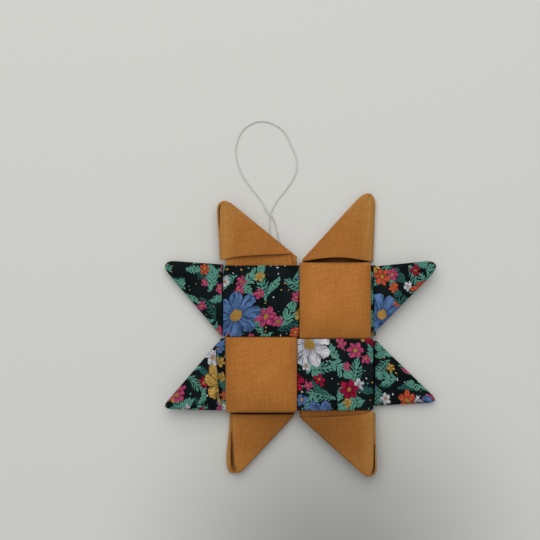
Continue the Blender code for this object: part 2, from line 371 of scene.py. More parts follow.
PUFF_LAYER = 6.5
PUFF_MARGIN = 0.002
SETTLED_WAVES = [(0.045, 215, 130, 0.8), (0.035, -150, 260, 2.1), (0.02, 420, -350, 0)]
SETTLED_REACH = 1.45 * CHECK_EDGE
SETTLED_POWER = 16
SETTLED_POINTS = 0.5
RIM_ROUNDING = 0.00013
RIM_STEPS = 2
RIM_ANGLE = radians(60)

# A point's reaches and lifts are counted outwards from the edge of the check. Its tips, its leg's
# foot and its corner are counted inwards from the outer edge of the strip.
Point = namedtuple(
    "Point",
    "slope_reach slope_tip leg_reach leg_tip leg_foot foot_lift foot_drop corner_lift corner_in "
    "bow lift slot rounding",
)
Strip = namedtuple("Strip", "name node quarter_turns slot flat_length cut_from front back")
Rung = namedtuple("Rung", "outer inner lift pleat")
STRAIGHT = Vector((0, 0, 0))


def layer_height(layer):
    """The height of the middle of a layer, counted from the back."""
    return LOWEST_LAYER + layer * LAYER_PITCH


def across(y):
    """A rung square across the strip at y: its two ends, on the strip's outer and inner edge."""
    return Vector((0, y)), Vector((STRIP_WIDTH, y))


def rung_at(ends, height, lift=STRAIGHT, pleat=STRAIGHT):
    """The rung between two ends, raised into space.

    lift bends its inner end away from the straight, and pleat bends it near its outer end.
    """
    outer, inner = (Vector((*end, height)) for end in ends)
    return Rung(outer, inner, lift, pleat)


def fold(rung_in, rung_out, layer_in, layer_out, swells):
    """Rungs round a fold from one layer to another. Each end swells its own way."""
    low, high = layer_height(layer_in), layer_height(layer_out)
    rungs = []
    for step in range(FOLD_STEPS + 1):
        turn = pi * step / FOLD_STEPS
        share = (1 - cos(turn)) / 2
        ends = [
            start.lerp(end, share) + swell * sin(turn)
            for start, end, swell in zip(rung_in, rung_out, swells)
        ]
        rungs.append(rung_at(ends, low + (high - low) * share))
    return rungs


def ramp(heading, layer_in, layer_out, crossing):
    """Rungs down or up the slope between two cells, which passes the gap at layer crossing."""
    climb = 1 if layer_out > layer_in else -1
    tangent = RAMP_RADIUS * tan(RAMP_SLOPE / 2)
    rungs = []
    for layer, side in ((layer_in, 1), (layer_out, -1)):
        height = layer_height(layer)
        corner = climb * (height - layer_height(crossing)) / tan(RAMP_SLOPE)
        for step in range(RAMP_STEPS + 1):
            turned = step if side > 0 else RAMP_STEPS - step
            turn = RAMP_SLOPE * turned / RAMP_STEPS
            place = corner - side * (tangent - RAMP_RADIUS * sin(turn))
            level = height + side * climb * RAMP_RADIUS * (1 - cos(turn))
            rungs.append(rung_at(across(heading * place), level))
    return rungs


def slope_normal(rung):
    """The direction in which a slanting fold swells: square to it, to the strip's inner edge."""
    along = rung[1] - rung[0]
    side = Vector((-along.y, along.x)).normalized()
    return side if side.x > 0 else -side


def leg_fold(rung_in, rung_out, layer_in, layer_out, swells, slot):
    """The short fold of a point, which stands open near the tip as a slot of SLOT_SECTION."""
    rungs = fold(rung_in, rung_out, layer_in, layer_out, swells)
    from_top = rungs if layer_in > layer_out else rungs[::-1]
    leg_foot = rung_in[1]
    pleated = []
    for rung, (outwards, down) in zip(from_top, SLOT_SECTION):
        aside = (leg_foot.x - outwards - rung.inner.x) * slot
        sunk = (from_top[0].inner.z - down - rung.inner.z) * min(1, SLOT_SINKING * slot)
        pleated.append(rung._replace(pleat=Vector((aside, 0, sunk))))
    return pleated if layer_in > layer_out else pleated[::-1]


def fan(rung_in, rung_out, layer, side, shape):
    """Rungs across the face of a point, from one of its slanting folds to the other.

    The free edge at the foot bows outwards and lifts off the layer under it, and its corner at the
    short fold hangs lower.
    """
    bow, lift, drop = shape
    rungs = []
    for step in range(1, FAN_STEPS):
        share = step / FAN_STEPS
        ends = [start.lerp(end, share) for start, end in zip(rung_in, rung_out)]
        from_slope = 1 - share if abs(rung_in[1].x) < abs(rung_out[1].x) else share
        outwards = bow * sin(pi * share) + drop * (from_slope - from_slope**FOOT_DROP_POWER)
        raised = Vector((0, side * outwards, lift * sin(pi * share) ** EDGE_LIFT_POWER))
        rungs.append(rung_at(ends, layer_height(layer), lift=raised))
    return rungs


def spread_of(first, second):
    """How far two directions in the plane turn from each other: 0 where they run the same way."""
    return first.x * second.y - first.y * second.x


def crossing_of(first, second):
    """Where two lines in the plane cross. Each is given by two of its points."""
    along, other = first[1] - first[0], second[1] - second[0]
    return first[0] + along * (spread_of(second[0] - first[0], other) / spread_of(along, other))


def both_ways(first_out, second_out, first_reach, second_reach):
    """The move in the plane that goes that far along each of two directions."""
    spread = spread_of(first_out, second_out)
    return Vector((
        (first_reach * second_out.y - second_reach * first_out.y) / spread,
        (second_reach * first_out.x - first_reach * second_out.x) / spread,
    ))


def tip_lines(point, side):
    """The outermost lines of a point's two slanting folds, as a place and a normal each."""
    tip = Vector((point.slope_tip, side * (CHECK_EDGE + point.slope_reach)))
    corner = Vector((point.corner_in, side * (CHECK_EDGE + point.corner_lift)))
    leg_tip = Vector((point.leg_tip, side * (CHECK_EDGE + point.leg_reach)))
    leg_foot = Vector((point.leg_foot, side * (CHECK_EDGE + point.foot_lift)))
    slope_out = slope_normal((tip, corner))
    leg_out = slope_normal((leg_tip, leg_foot)) * -1
    return (
        (tip + slope_out * SLOPE_FULLNESS, slope_out),
        (leg_tip + leg_out * LEG_FULLNESS, leg_out),
    )


def round_corner(place, lines, radius):
    """A place in the plane, drawn in from the corner of two lines so that it is rounded."""
    (first, first_out), (second, second_out) = lines
    first_share = max(0, 1 + (place - first).dot(first_out) / radius)
    second_share = max(0, 1 + (place - second).dot(second_out) / radius)
    if min(first_share, second_share) == 0:
        return place
    most, reach = max(first_share, second_share), hypot(first_share, second_share)
    eased = min(1, max(0, (most - ROUNDING_START) / (1 - ROUNDING_START)))
    cut = eased * eased * (3 - 2 * eased) * (1 - most / reach)
    return place + both_ways(
        first_out, second_out, -radius * first_share * cut, -radius * second_share * cut
    )


def point_rungs(point, side, layers, leg_floor):
    """Rungs out along one layer, round the three folds of a point, and back along another.

    side is +1 for the point past the top of the check, which lies at the front, and -1 for the one
    past its bottom, at the back.
    """

    def place(outwards, inwards):
        return Vector((inwards, side * (CHECK_EDGE + outwards)))

    corner = place(point.corner_lift, point.corner_in)
    foot_lift = point.foot_lift - point.foot_drop
    leg_foot = place(foot_lift, point.leg_foot)
    tip, leg_tip = place(point.slope_reach, point.slope_tip), place(point.leg_reach, point.leg_tip)
    apex = crossing_of((corner, tip), (leg_foot, leg_tip))
    tip = apex + (tip - corner).normalized() * TIP_OVERLAP
    leg_tip = apex + (leg_tip - leg_foot).normalized() * TIP_OVERLAP
    rise = (point.slope_reach - point.corner_lift) / (point.corner_in - point.slope_tip)
    hidden_lift = max(leg_floor, point.corner_lift - (STRIP_WIDTH - point.corner_in) * rise)
    hidden_in = min(point.corner_in + (point.corner_lift - hidden_lift) / rise, STRIP_WIDTH)
    hidden_slope = (tip, place(hidden_lift, hidden_in))
    shown_slope = (tip, corner)
    hidden_foot = max(leg_floor, foot_lift)
    hidden_leg = (leg_tip, place(hidden_foot, point.leg_foot))
    shown_leg = (leg_tip, leg_foot)
    slope_out, leg_out = slope_normal(shown_slope), slope_normal(shown_leg) * -1
    tip_swell = both_ways(slope_out, leg_out, SLOPE_FULLNESS, LEG_FULLNESS)
    leg_swells = (tip_swell, leg_out * WRAP_SWELL)
    slope_swells = (tip_swell, slope_out * SLOPE_SWELL)
    base, under, over, tail = layers
    neck_in = max(0, point.leg_foot - WRAP_HOLLOW)
    square_corner = place(0, STRIP_WIDTH)
    hidden_neck = (place(hidden_foot, neck_in), square_corner.lerp(hidden_slope[1], 0.5))
    shown_neck = (
        place(foot_lift, neck_in), place(point.corner_lift / 2, point.corner_in + BAND_FLARE)
    )
    shown_band = (place(foot_lift / 2, 0), place(0, point.corner_in + 2 * BAND_FLARE))
    flat, shaped = (0, 0, point.foot_drop), (point.bow, point.lift, point.foot_drop)
    under_shape, over_shape = (flat, shaped) if side > 0 else (shaped, flat)
    return [
        rung_at(hidden_neck, layer_height(base)),
        *fold(hidden_slope, hidden_slope, base, under, slope_swells),
        *fan(hidden_slope, hidden_leg, under, side, under_shape),
        *leg_fold(hidden_leg, shown_leg, under, over, leg_swells, point.slot),
        *fan(shown_leg, shown_slope, over, side, over_shape),
        *fold(shown_slope, shown_slope, over, tail, slope_swells),
        rung_at(shown_neck, layer_height(tail)),
        rung_at(shown_band, layer_height(tail)),
    ]


def strip_rungs(strip):
    """Every rung of a strip, from its tail at the back to its tail at the front."""
    loop_swells = (Vector((0, LOOP_SWELL)),) * 2
    front_swells = (Vector((0, -FRONT_SWELL)),) * 2
    tail_end = INNER_EDGE + TAIL_SHORT
    loop_line = across(CHECK_EDGE + LOOP_ROOM)
    front_line = across(-CHECK_EDGE)
    back_point = point_rungs(strip.back, -1, (2, 3, 0, 1), strip.back.foot_lift)
    return [
        rung_at(across(-tail_end), layer_height(1)),
        rung_at(across(-CHECK_EDGE), layer_height(1)),
        *reversed(back_point),
        rung_at(across(-CHECK_EDGE), layer_height(2)),
        *ramp(1, 2, 0, 0.5),
        *fold(loop_line, loop_line, 0, 4, loop_swells),
        *ramp(-1, 4, 3, 3.5),
        *fold(front_line, front_line, 3, 7, front_swells),
        *ramp(1, 7, 5, 6.5),
        rung_at(across(CHECK_EDGE), layer_height(5)),
        *point_rungs(strip.front, 1, (5, 4, 7, 6), LEG_CLEAR),
        rung_at(across(CHECK_EDGE), layer_height(6)),
        rung_at(across(tail_end), layer_height(6)),
    ]


def close_rungs(rungs):
    """The same rungs with more between those that lie far apart."""
    dense = [rungs[0]]
    for start, end in zip(rungs, rungs[1:]):
        gap = max((end.outer - start.outer).length, (end.inner - start.inner).length)
        count = max(1, round(gap / RUNG_SPACING)) if gap > RUNG_SPARE * RUNG_SPACING else 1
        for step in range(1, count + 1):
            dense.append(Rung(*(a.lerp(b, step / count) for a, b in zip(start, end))))
    return dense


def place_on(rung, share):
    """The middle of the cloth at that share of the way across."""
    slot_share = share / SLOT_PLACE * exp(1 - share / SLOT_PLACE)
    bent = rung.lift * share**LIFT_POWER
    return rung.outer.lerp(rung.inner, share) + bent + rung.pleat * slot_share


def settle(point):
    """Where handling has left a point of the pressed cloth: its layers lie not quite even."""
    x, y, height = point
    swell = sum(size * sin(a * x + b * y + start) for size, a, b, start in SETTLED_WAVES)
    check_share = 1 / (1 + (hypot(x, y) / SETTLED_REACH) ** SETTLED_POWER)
    height *= 1 + swell * (SETTLED_POINTS + (1 - SETTLED_POINTS) * check_share)
    return Vector((x, y, height))


def puff(x, y, height):
    """How far the uppermost cloth of a square stands up over its middle."""
    if height < layer_height(PUFF_LAYER) or y > 0 or y < -CHECK_EDGE - PUFF_MARGIN:
        return 0.0
    from_middle_x = abs(2 * x / STRIP_WIDTH - 1)
    from_middle_y = abs(2 * (y + CHECK_EDGE / 2) / CHECK_EDGE)
    risen = SQUARE_PUFF * max(0, 1 - from_middle_x**PUFF_POWER)
    return risen * max(0, 1 - from_middle_y**PUFF_POWER)


def strip_columns():
    """The columns of a doubled strip: over one ply, round the inner edge and back along the other.

    Each is its share of the way across, and how far it turns out to the side and to the face.
    """
    far_share = 1 - HALF_BAND / STRIP_WIDTH
    near_share = EDGE_INSET / STRIP_WIDTH
    first_ply = []
    for step in range(ACROSS_STEPS + 1):
        share = step / ACROSS_STEPS
        eased = share - COLUMN_EASING * sin(2 * pi * share)
        first_ply.append((near_share + (far_share - near_share) * eased, 0.0, 1.0))
    edge = [
        (far_share, sin(pi * step / EDGE_STEPS), cos(pi * step / EDGE_STEPS))
        for step in range(1, EDGE_STEPS)
    ]
    second_ply = [(share, 0.0, -1.0) for share, _, _ in reversed(first_ply)]
    return first_ply + edge + second_ply


def flat_walks(rungs):
    """How far each rung lies along the flat strip, by its outer edge and by its inner edge."""
    outer_walk, inner_walk = [0.0], [0.0]
    for start, end in zip(rungs, rungs[1:]):
        inner_step = (end.inner - start.inner).length
        round_a_fold = start.outer.z != end.outer.z
        outer_step = inner_step if round_a_fold else (end.outer - start.outer).length
        outer_walk.append(outer_walk[-1] + outer_step)
        inner_walk.append(inner_walk[-1] + inner_step)
    return outer_walk, inner_walk


def add_strip(strip, surface):
    """One strip: a flat grid laid along its rungs as two plies, joined round its inner edge."""
    rungs = close_rungs(strip_rungs(strip))
    columns = strip_columns()
    last_row, last_column = len(rungs) - 1, len(columns) - 1
    outer_walk, inner_walk = flat_walks(rungs)
    front_tip = (tip_lines(strip.front, 1), strip.front.rounding)
    back_tip = (tip_lines(strip.back, -1), strip.back.rounding)
    front_edge = (Vector((0, -CHECK_EDGE - FRONT_SWELL - HALF_BAND)), Vector((0, -1)))
    outer_edge = (Vector((0, 0)), Vector((-1, 0)))
    inner_edge = (Vector((STRIP_WIDTH, 0)), Vector((1, 0)))
    to_column = Matrix.Translation((-CHECK_EDGE, 0, 0))
    to_side = Matrix.Rotation(strip.quarter_turns * pi / 2, 4, "Z")
    to_place = Matrix.Translation(CHECK_MIDDLE)

    shape = bmesh.new()
    bmesh.ops.create_grid(shape, x_segments=last_column, y_segments=last_row, size=1)
    flat_cloth = shape.loops.layers.uv.new("flat_cloth")
    cloth_place = {}
    for vertex in shape.verts:
        row = round((vertex.co.y + 1) / 2 * last_row)
        share, turned, face = columns[round((vertex.co.x + 1) / 2 * last_column)]
        rung = rungs[row]
        middle = place_on(rung, share)
        before = place_on(rungs[max(row - 1, 0)], share)
        after = place_on(rungs[min(row + 1, last_row)], share)
        crossing = place_on(rung, min(share + PROBE_SHARE, 1))
        crossing -= place_on(rung, max(share - PROBE_SHARE, 0))
        crossing.normalize()
        normal = crossing.cross(after - before).normalized()
        puffed = Vector((0, 0, puff(*middle)))
        local = middle + puffed + (normal * face + crossing * turned) * PLY_OFFSET
        if abs(middle.y) > POINT_FROM:
            lines, rounding = front_tip if local.y > 0 else back_tip
            local = Vector((*round_corner(local.xy, lines, rounding), local.z))
        elif middle.z > layer_height(SQUARE_LAYER) and middle.y < 0:
            for side_edge in (outer_edge, inner_edge):
                rounded = round_corner(local.xy, (front_edge, side_edge), CORNER_ROUNDING)
                local = Vector((*rounded, local.z))
        vertex.co = to_place @ settle(to_side @ (to_column @ local))
        flat_share = share if face > 0 or turned > 0 else 2 - share
        walk = outer_walk[row] + (inner_walk[row] - outer_walk[row]) * share
        cloth_place[vertex] = Vector((flat_share * STRIP_WIDTH, walk)) + Vector(strip.cut_from)
    for face in shape.faces:
        for corner in face.loops:
            corner[flat_cloth].uv = cloth_place[corner.vert]
    made = put_in_scene(shape, strip.name, surface)
    ply = made.modifiers.new("ply", "SOLIDIFY")
    ply.thickness = PLY_THICKNESS
    ply.offset = 0
    rim = made.modifiers.new("rounded_rims", "BEVEL")
    rim.width = RIM_ROUNDING
    rim.segments = RIM_STEPS
    rim.limit_method = "ANGLE"
    rim.angle_limit = RIM_ANGLE
    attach(made, "root")
    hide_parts(strip.node)


def new_group(name, values, results):
    """A node group that reads the cloth: its tree, what it is given and what it puts out."""
    group = bpy.data.node_groups.new(name, "ShaderNodeTree")
    group.interface.new_socket("Cloth", in_out="INPUT", socket_type="NodeSocketVector")
    for label in values:
        group.interface.new_socket(label, in_out="INPUT", socket_type="NodeSocketFloat")
    for label in results:
        group.interface.new_socket(label, in_out="OUTPUT", socket_type="NodeSocketFloat")
    given = group.nodes.new("NodeGroupInput").outputs
    return group, given, group.nodes.new("NodeGroupOutput").inputs


def use_group(tree, group, **inputs):
    """What a node group puts out for those inputs."""
    return add_node(tree, "Group", inputs, node_tree=group).outputs


def vectors(tree, operation, place, other):
    """The result of one sum on two vectors, or on a vector and a scale."""
    inputs = {0: place, "Scale" if operation == "SCALE" else 1: other}
    return add_node(tree, "VectorMath", inputs, operation=operation).outputs[0]


def less(tree, first, second):
    """The first value less the second."""
    return maths(tree, "SUBTRACT", first, second)


def vary(tree, tone, cause, weight):
    """The tone, moved up and down by a value that lies about 0.5."""
    return maths(tree, "MULTIPLY_ADD", less(tree, cause, 0.5), weight, tone)


def drawn_noise(tree, x, y, z, scale, detail):
    """Noise at three values, so that each may draw it out or squeeze it."""
    place = add_node(tree, "CombineXYZ", {0: x, 1: y, 2: z}).outputs[0]
    return noise(tree, place, scale, detail)


SLUB_SCALE = 0.9
SLUB_STRETCH = 0.07
WEAVE_RELIEF_TONE = 0.35


def slubs(tree, x, y):
    """The thick and thin places of the yarns that run along y."""
    return drawn_noise(tree, x, times(tree, y, SLUB_STRETCH), 0.0, SLUB_SCALE, detail=2.0)


# Each yarn goes over one and under the next, and is thicker here and thinner there.
plain_weave, given, result = new_group("plain_weave", ["Yarns"], ["Height", "Tone"])
tree = plain_weave
yarn_place = vectors(tree, "SCALE", given["Cloth"], given["Yarns"])
yarn_axes = add_node(tree, "SeparateXYZ", {0: yarn_place}).outputs
warp_wave = maths(tree, "SINE", times(tree, yarn_axes[0], pi))
weft_wave = maths(tree, "SINE", times(tree, yarn_axes[1], pi))
over_under = times(tree, warp_wave, weft_wave)
warp_slub = slubs(tree, yarn_axes[0], yarn_axes[1])
weft_slub = slubs(tree, yarn_axes[1], yarn_axes[0])
warp_rise = maths(tree, "MULTIPLY_ADD", over_under, 0.5, 0.5)
weft_rise = less(tree, 1.0, warp_rise)
warp_body = times(tree, maths(tree, "ABSOLUTE", warp_wave), warp_rise)
weft_body = times(tree, maths(tree, "ABSOLUTE", weft_wave), weft_rise)
warp_top = times(tree, warp_body, maths(tree, "ADD", warp_slub, 0.5))
weft_top = times(tree, weft_body, maths(tree, "ADD", weft_slub, 0.5))
weave_height = maths(tree, "MAXIMUM", warp_top, weft_top)
yarn_tone = times(tree, maths(tree, "ADD", warp_slub, weft_slub), 0.5)
# The tone is also raised on the yarns and lowered in the low places between them.
weave_tone = vary(tree, yarn_tone, weave_height, WEAVE_RELIEF_TONE)
tree.links.new(weave_height, result["Height"])
tree.links.new(weave_tone, result["Tone"])

# Painted shade: cloth deep in a hollow between a strip's own layers is darkened, standing in for
# the shade there.
HOLLOW_SHADE_DEPTH = 0.0045
HOLLOW_SHADE_FULL = 0.25
HOLLOW_SHADE_NONE = 0.67


def hollow_shade_share(tree):
    """Painted shade: 0 deep in a hollow between the strip's own layers, 1 where the cloth lies
    open.
    """
    inputs = {"Distance": HOLLOW_SHADE_DEPTH}
    around = add_node(tree, "AmbientOcclusion", inputs, samples=8, only_local=True)
    return grade(tree, around.outputs["AO"], HOLLOW_SHADE_FULL, HOLLOW_SHADE_NONE)


LINEN_YARNS = 1 / 0.00058
LINEN_HOLLOW_SHADE = (0.030, 0.008, 0.002)
LINEN_DARK = (0.32, 0.113, 0.020)
LINEN_MIDDLE = (0.44, 0.163, 0.033)
LINEN_LIGHT = (0.58, 0.245, 0.066)
# The next colour darkens each square's sides and lower edge: painted shade.
LINEN_EDGE_SHADE = (0.75, 0.75, 0.70)
# The next colour darkens the points a little and the lower ones most where they meet: painted shade
# and shadow.
LINEN_PAINTED_SHADOW = (0.44, 0.45, 0.41)
# How far that painted shade reaches in from a square's sides and up from its lower edge, and how it
# falls off.
SHADED_SIDE_WIDTH = 0.0052
SHADED_FOOT_SHARE = 0.40
SIDE_SHADE_POWER = 1.5
# Where the painted shadow on the lower points is deepest, how far it reaches, and how strong the
# painted shade is on all points and the shadow below.
LOW_SHADOW_MIDDLE = 0.006
LOW_SHADOW_REACH = 0.030
SHADE_ON_POINTS = 0.32
LOW_SHADOW_STRENGTH = 0.60
LINEN_RUBBED = (1.17, 1.44, 1.75)
RUBBED_FROM = 0.0213
RUBBED_TO = 0.0258
NOSE_FROM = CHECK_EDGE + 0.013
NOSE_TO = CHECK_EDGE + 0.024
NOSE_RUBBED = 0.75
# The weave's tone on the linen: the yarns' thick and thin places, and painted shade in the low
# places between yarns.
LINEN_WEAVE_TONE_AND_SHADE = 0.62
LINEN_FADING = 0.35
LINEN_LINT = 0.45


def tinted(tree, share, colour, tint):
    """The colour with that share of a tint laid over it."""
    inputs = {0: share, 6: colour, 7: tint}
    return add_node(tree, "Mix", inputs, data_type="RGBA", blend_type="MULTIPLY").outputs[2]


def in_check(tree, body_place):
    """How far a place is from the middle of the check, across it and up it."""
    centred = vectors(tree, "SUBTRACT", body_place, CHECK_MIDDLE)
    return add_node(tree, "SeparateXYZ", {0: centred}).outputs[:2]


def past_check(tree, y):
    """1 on the points of a mustard strip, 0 on the check."""
    return maths(tree, "GREATER_THAN", maths(tree, "ABSOLUTE", y), CHECK_EDGE)


def square_edge_shade(tree, x, y):
    """Painted shade: 1 at the sides and the lower edge of a square, 0 over its middle and on the
    points.
    """
    from_side = grade(tree, maths(tree, "PINGPONG", x, CHECK_EDGE / 2), 0.0, SHADED_SIDE_WIDTH)
    up_square = maths(tree, "FRACT", maths(tree, "DIVIDE", y, CHECK_EDGE))
    from_foot = grade(tree, up_square, 0.0, SHADED_FOOT_SHARE)
    sides_and_foot = less(tree, 1.0, times(tree, from_side, from_foot))
    sides_and_foot = maths(tree, "POWER", sides_and_foot, SIDE_SHADE_POWER)
    return times(tree, sides_and_foot, less(tree, 1.0, past_check(tree, y)))


def points_painted_shadow(tree, x, y):
    """Painted shade and shadow: 0 on the check, some on all the points, most on the lower ones
    where they meet.
    """
    below = maths(tree, "LESS_THAN", y, -CHECK_EDGE)
    aside = maths(tree, "ABSOLUTE", less(tree, x, LOW_SHADOW_MIDDLE))
    near = grade(tree, aside, LOW_SHADOW_REACH, 0.0, 0.0, LOW_SHADOW_STRENGTH)
    on_points = times(tree, past_check(tree, y), SHADE_ON_POINTS)
    return maths(tree, "MULTIPLY_ADD", below, near, on_points)


def rubbed_share(tree, x, y):
    """How far a point is rubbed pale: most along its outer side, less at its nose."""
    at_side = grade(tree, maths(tree, "ABSOLUTE", x), RUBBED_FROM, RUBBED_TO)
    at_nose = grade(tree, maths(tree, "ABSOLUTE", y), NOSE_FROM, NOSE_TO, 0.0, NOSE_RUBBED)
    return times(tree, past_check(tree, y), maths(tree, "MAXIMUM", at_side, at_nose))


linen, tree, shader = new_surface("mustard_linen_weave", roughness=0.88, sheen=0.05, gloss=0.1)
cloth = add_node(tree, "UVMap", uv_map="flat_cloth").outputs[0]
weave = use_group(tree, plain_weave, Cloth=cloth, Yarns=LINEN_YARNS)
body_place = add_node(tree, "TexCoord").outputs["Object"]
fading = noise(tree, body_place, scale=60.0, detail=3.0)
lint = noise(tree, cloth, scale=1100.0, detail=2.0)
# Painted shade: the weave's tone lightens the raised yarns and darkens the low places between them,
# along with the yarns' thick and thin places.
linen_tone = vary(tree, 0.5, weave["Tone"], LINEN_WEAVE_TONE_AND_SHADE)
linen_tone = vary(tree, linen_tone, fading, LINEN_FADING)
linen_tone = vary(tree, linen_tone, lint, LINEN_LINT)
low_share = grade(tree, linen_tone, 0.15, 0.5)
high_share = grade(tree, linen_tone, 0.50, 0.95)
linen_colour = mix_colours(tree, low_share, LINEN_DARK, LINEN_MIDDLE)
linen_colour = mix_colours(tree, high_share, linen_colour, LINEN_LIGHT)
across_check, up_check = in_check(tree, body_place)
# The squares' sides and lower edges get painted shade, the points painted shade and shadow, and the
# points' outer sides and noses real rubbed wear.
for wear_and_shade_share, tint in (
    (square_edge_shade, LINEN_EDGE_SHADE), (points_painted_shadow, LINEN_PAINTED_SHADOW), (rubbed_share, LINEN_RUBBED)
):
    linen_colour = tinted(tree, wear_and_shade_share(tree, across_check, up_check), linen_colour, tint)
# Painted shade in the hollows between the strip's layers.
linen_colour = mix_colours(tree, hollow_shade_share(tree), LINEN_HOLLOW_SHADE, linen_colour)
tree.links.new(linen_colour, shader.inputs["Base Color"])
tree.links.new(grade(tree, linen_tone, 0.2, 0.8, 0.95, 0.8), shader.inputs["Roughness"])
add_bumps(tree, shader, weave["Height"], strength=0.5, depth=0.00012)

MUSTARD_STRIPS = [
    Strip(
        name="left_mustard_strip", node="strip_left_mustard", slot="mustard_linen",
        quarter_turns=0, flat_length=0.303, cut_from=(0.0, 0.0),
        front=Point(
            slope_reach=0.0225, slope_tip=-0.0003, leg_reach=0.0209, leg_tip=-0.0014,
            leg_foot=-0.0005, foot_lift=0.0026, foot_drop=0.0008, corner_lift=0.0038,
            corner_in=0.0231, bow=0.0002, lift=0.0010, slot=0.36, rounding=0.0052,
        ),
        back=Point(
            slope_reach=0.0219, slope_tip=0.0046, leg_reach=0.0201, leg_tip=0.0036,
            leg_foot=0.0031, foot_lift=0.0013, foot_drop=0.0003, corner_lift=0.0012,
            corner_in=0.0242, bow=0.0, lift=0.0004, slot=1.1, rounding=0.0043,
        ),
    ),
    Strip(
        name="right_mustard_strip", node="strip_right_mustard", slot="mustard_linen",
        quarter_turns=2, flat_length=0.316, cut_from=(0.09, 0.17),
        front=Point(
            slope_reach=0.0225, slope_tip=0.0016, leg_reach=0.0218, leg_tip=-0.0002,
            leg_foot=-0.0001, foot_lift=0.0014, foot_drop=0.0011, corner_lift=0.0025,
            corner_in=0.0242, bow=0.0001, lift=0.0009, slot=0.44, rounding=0.0048,
        ),
        back=Point(
            slope_reach=0.0249, slope_tip=0.0019, leg_reach=0.0240, leg_tip=-0.0004,
            leg_foot=0.0005, foot_lift=0.0011, foot_drop=0.0, corner_lift=0.0011,
            corner_in=0.0240, bow=0.0015, lift=0.0030, slot=0.2, rounding=0.0064,
        ),
    ),
]
for strip in MUSTARD_STRIPS:
    add_strip(strip, linen)

# The floral strips.
# Two more bands, of dark cotton with a printed pattern of small flowers and sprigs, woven across
# the mustard ones as the check's two rows. They are pressed double and folded in the same way.

COTTON_HOLLOW_SHADE = (0.0015, 0.0018, 0.002)
GROUND = (0.0035, 0.0062, 0.0068)
GROUND_WORN = (0.009, 0.014, 0.015)
LEAF_GREEN = (0.125, 0.36, 0.27)
LEAF_DARK = (0.030, 0.125, 0.105)
EYE_YELLOW = (0.58, 0.33, 0.07)
PETAL_BLUE = (0.115, 0.22, 0.44)
PETAL_PINK = (0.60, 0.075, 0.19)
PETAL_CRIMSON = (0.40, 0.010, 0.045)
PETAL_ORANGE = (0.68, 0.11, 0.045)
PETAL_YELLOW = (0.61, 0.37, 0.085)
PETAL_WHITE = (0.74, 0.74, 0.76)
COTTON_YARNS = 1 / 0.00034
DEEP_INK = (0.20, 0.21, 0.27)
PRINT_SOFTNESS = 0.00008
HAND_WANDER = 0.0016
SPECKS_ABOVE = 0.53
BLOOM_UNEVENNESS = 0.55
BLOOM_SPREAD = 0.26
BLOOM_DICE = 7.3
PETAL_ROUNDNESS = 0.55
PETAL_OUTLINE = 0.6
EYE_SHARE = 0.24
SPRIG_UNEVENNESS = 0.42
STEM_WIDTH = 0.022
STEM_BEND = 1.6
LEAF_SOFTNESS = 4.0
LEAST_REACH = 0.05


def soft_edge(tree, depth, softness):
    """1 inside a printed shape and 0 outside it, with an edge as soft as ink on cloth."""
    return grade(tree, depth, times(tree, softness, -1.0), softness)


def scatter(tree, given, unevenness):
    """A motif in each cell of the cloth: the way out from its middle, and its three dice."""
    start = add_node(tree, "CombineXYZ", {0: given["Shift"], 1: given["Shift"]}).outputs[0]
    spot = vectors(tree, "ADD", vectors(tree, "SCALE", given["Cloth"], given["Cells"]), start)
    inputs = {"Vector": spot, "Scale": 1.0, "Randomness": unevenness}
    cell = add_node(tree, "TexVoronoi", inputs, voronoi_dimensions="2D").outputs
    dice = add_node(tree, "SeparateColor", {0: cell["Color"]}).outputs
    return vectors(tree, "SUBTRACT", spot, cell["Position"]), dice


# A flower of round petals about a plain eye, brushed from the eye outwards.
printed_bloom, given, result = new_group(
    "printed_bloom", ["Cells", "Shift", "Size", "Petals", "Waist"], ["Mask", "Tone", "Eye", "Pick"]
)
tree = printed_bloom
way, dice = scatter(tree, given, BLOOM_UNEVENNESS)
way_axes = add_node(tree, "SeparateXYZ", {0: way}).outputs
reached = add_node(tree, "VectorMath", {0: way}, operation="LENGTH").outputs["Value"]
heading = maths(tree, "ARCTAN2", way_axes[1], way_axes[0])
heading = maths(tree, "MULTIPLY_ADD", dice[0], 2 * pi, heading)
half_turns = times(tree, times(tree, heading, 0.5), given["Petals"])
lobes = maths(tree, "ABSOLUTE", maths(tree, "COSINE", half_turns))
petal_edge = maths(tree, "POWER", lobes, PETAL_ROUNDNESS)
cut = times(tree, given["Waist"], less(tree, 1.0, petal_edge))
grown = maths(tree, "MULTIPLY_ADD", dice[1], BLOOM_SPREAD, 1 - BLOOM_SPREAD)
grown = times(tree, given["Size"], grown)
reach = times(tree, grown, less(tree, 1.0, cut))
softness = times(tree, given["Cells"], PRINT_SOFTNESS)
depth = less(tree, reach, reached)
outwards = maths(tree, "DIVIDE", reached, maths(tree, "ADD", reach, 0.001))
across_petal = times(tree, half_turns, 2.6)
along_petal = times(tree, outwards, 1.1)
brush = drawn_noise(tree, across_petal, along_petal, dice[1], scale=1.9, detail=1.5)
strokes = grade(tree, brush, 0.36, 0.58)
petal_tone = times(tree, grade(tree, lobes, 0.10, 0.34), strokes)
outline = grade(tree, depth, times(tree, softness, 2.4), softness)
petal_tone = less(tree, petal_tone, times(tree, outline, PETAL_OUTLINE))
petal_tone = times(tree, petal_tone, grade(tree, outwards, 0.22, 0.50, 0.25, 1.0))
eye_depth = less(tree, times(tree, grown, EYE_SHARE), reached)
tree.links.new(soft_edge(tree, depth, softness), result["Mask"])
tree.links.new(petal_tone, result["Tone"])
tree.links.new(soft_edge(tree, eye_depth, softness), result["Eye"])
tree.links.new(dice[2], result["Pick"])

